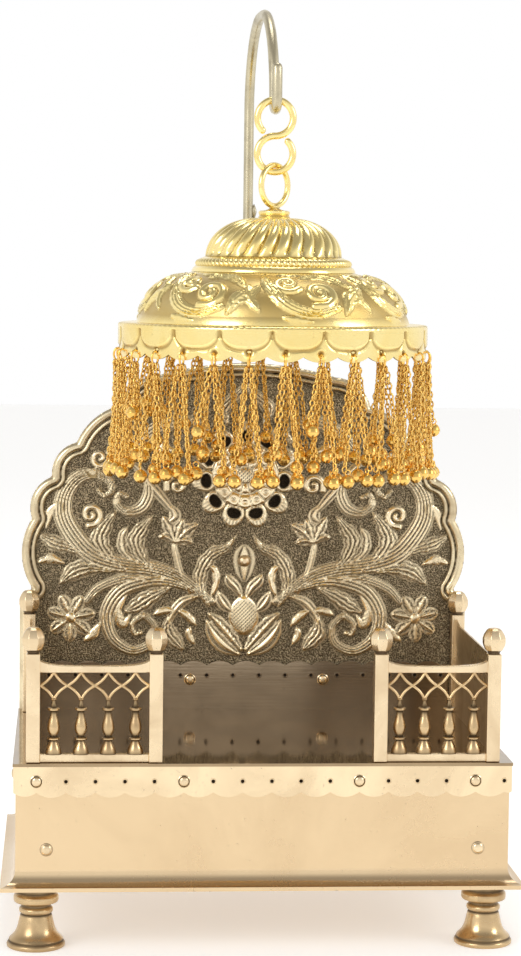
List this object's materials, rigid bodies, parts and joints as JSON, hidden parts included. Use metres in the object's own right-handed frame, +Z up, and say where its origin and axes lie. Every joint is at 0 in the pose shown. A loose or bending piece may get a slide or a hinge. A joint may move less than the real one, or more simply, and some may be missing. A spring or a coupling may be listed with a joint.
{
  "type": "brass deity throne with hanging bell canopy",
  "caption": "Footed brass throne for a small deity figure: railed seat, embossed lobed back, and a bell canopy with chain fringe hanging from a hooked rod.",
  "frame": {"origin": "on the floor, under the middle of the throne's overall box, canopy included", "axes": "+X to the right of someone who faces the throne, +Y from its open front to its back, +Z up"},
  "size_m": [0.2096, 0.1619, 0.3807],
  "materials": {
    "sheet_brass": "polished sheet with fine scratches and a thin tarnish",
    "cast_brass": "cast and filed, polished on its edges, dark in its corners",
    "embossed_brass": "embossed, bright on its raised parts, dark matted ground",
    "rod_brass": "drawn rod, dull pale tarnish",
    "canopy_brass": "bright yellow polished brass",
    "chain_brass": "deep gold lacquered chain and bells"
  },
  "bodies": {
    "throne": {"base_plate": "sheet_brass", "foot_front_left": "cast_brass", "foot_front_right": "cast_brass", "foot_rear_left": "cast_brass", "foot_rear_right": "cast_brass", "skirt_front": "cast_brass", "skirt_rear": "cast_brass", "skirt_left": "cast_brass", "skirt_right": "cast_brass", "plinth_front": "sheet_brass", "plinth_rear": "sheet_brass", "plinth_left": "sheet_brass", "plinth_right": "sheet_brass", "seat_plate": "sheet_brass", "apron_front": "cast_brass", "apron_rear": "cast_brass", "apron_left": "cast_brass", "apron_right": "cast_brass", "railing_left": "cast_brass", "railing_right": "cast_brass", "side_panel_left": "sheet_brass", "side_panel_right": "sheet_brass", "rear_post_left": "cast_brass", "rear_post_right": "cast_brass", "finial_left_outer": "cast_brass", "finial_left_inner": "cast_brass", "finial_right_inner": "cast_brass", "finial_right_outer": "cast_brass", "finial_rear_left": "cast_brass", "finial_rear_right": "cast_brass", "back_panel": "embossed_brass", "back_border": "embossed_brass", "back_strip": "cast_brass", "strip_screws": "cast_brass", "plinth_rivets": "cast_brass", "canopy_stem": "rod_brass", "stem_clips": "cast_brass"},
    "s_hook": {"s_hook": "canopy_brass"},
    "canopy": {"canopy_eye": "canopy_brass", "canopy_crown": "canopy_brass", "canopy_rope_band": "canopy_brass", "canopy_dome": "canopy_brass", "canopy_rim": "canopy_brass", "fringe_chains": "chain_brass", "fringe_bells": "chain_brass"}
  },
  "joints": [
    {"name": "hook_swing", "type": "hinge", "parent": "throne", "child": "s_hook", "pos_m": [0.00458, -0.01121, 0.3408], "axis": [-0.9986, -0.0523, 0], "range_deg": [-1.5, 25]},
    {"name": "canopy_swing", "type": "hinge", "parent": "s_hook", "child": "canopy", "pos_m": [0.00458, -0.01121, 0.31855], "axis": [0, 1, 0], "range_deg": [-15, 15]}
  ]
}
